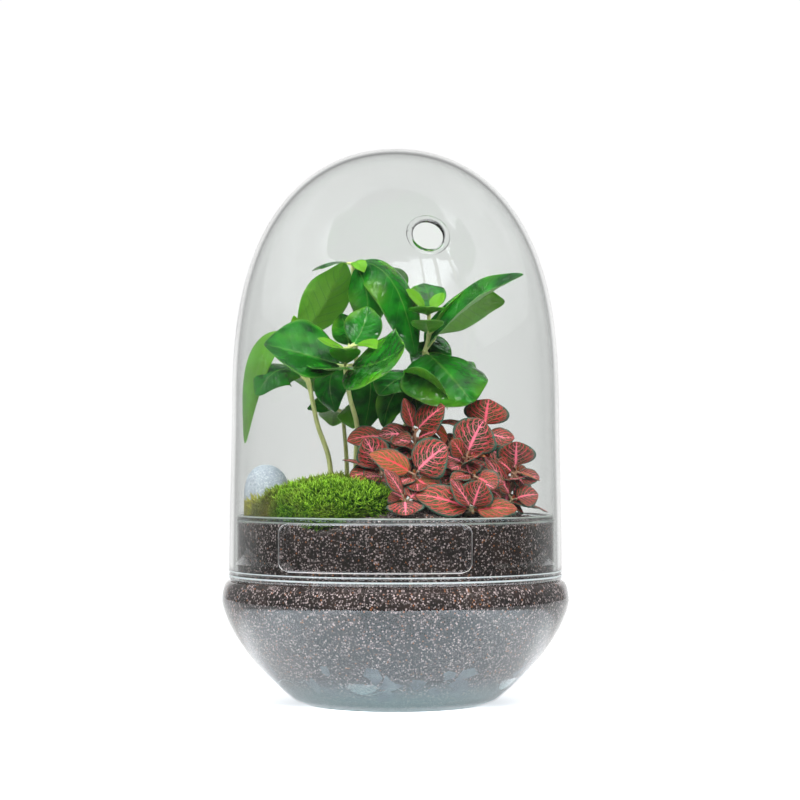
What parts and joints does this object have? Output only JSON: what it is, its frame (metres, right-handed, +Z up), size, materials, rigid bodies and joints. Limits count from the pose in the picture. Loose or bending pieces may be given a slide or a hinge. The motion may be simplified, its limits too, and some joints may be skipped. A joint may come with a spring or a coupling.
{
  "type": "glass plant terrarium",
  "caption": "Egg-shaped glass bowl and dome holding soil over drainage gravel, planted with coffee seedlings, a nerve plant and moss, beside a pebble; vent hole near the top.",
  "frame": {"origin": "centre of the bowl's foot, on the surface that the terrarium stands on", "axes": "+Z up along the glass's axis, -Y towards the viewer (the side with the vent hole), +X to the viewer's right"},
  "size_m": [0.175, 0.175, 0.28],
  "materials": {
    "glass": "gloss",
    "gravel": "matte",
    "soil": "matte",
    "pebble": "matte",
    "moss": "matte",
    "coffee_leaf": "gloss",
    "nerve_leaf": "satin"
  },
  "bodies": {
    "root": {"bowl": "glass", "dome": "glass", "drainage_gravel": "gravel", "soil": "soil", "pebble": "pebble", "moss_cushion": "moss", "moss_tuft": "moss", "coffee_front": "coffee_leaf", "coffee_left": "coffee_leaf", "coffee_tall": "coffee_leaf", "coffee_small": "coffee_leaf", "coffee_right": "coffee_leaf", "nerve_shoot_01": "nerve_leaf", "nerve_shoot_02": "nerve_leaf", "nerve_shoot_03": "nerve_leaf", "nerve_shoot_04": "nerve_leaf", "nerve_shoot_05": "nerve_leaf", "nerve_shoot_06": "nerve_leaf", "nerve_shoot_07": "nerve_leaf", "nerve_shoot_08": "nerve_leaf", "nerve_shoot_09": "nerve_leaf", "nerve_shoot_10": "nerve_leaf", "nerve_shoot_11": "nerve_leaf", "nerve_shoot_12": "nerve_leaf", "nerve_shoot_13": "nerve_leaf", "nerve_shoot_14": "nerve_leaf", "nerve_shoot_15": "nerve_leaf", "nerve_shoot_16": "nerve_leaf"}
  },
  "joints": []
}
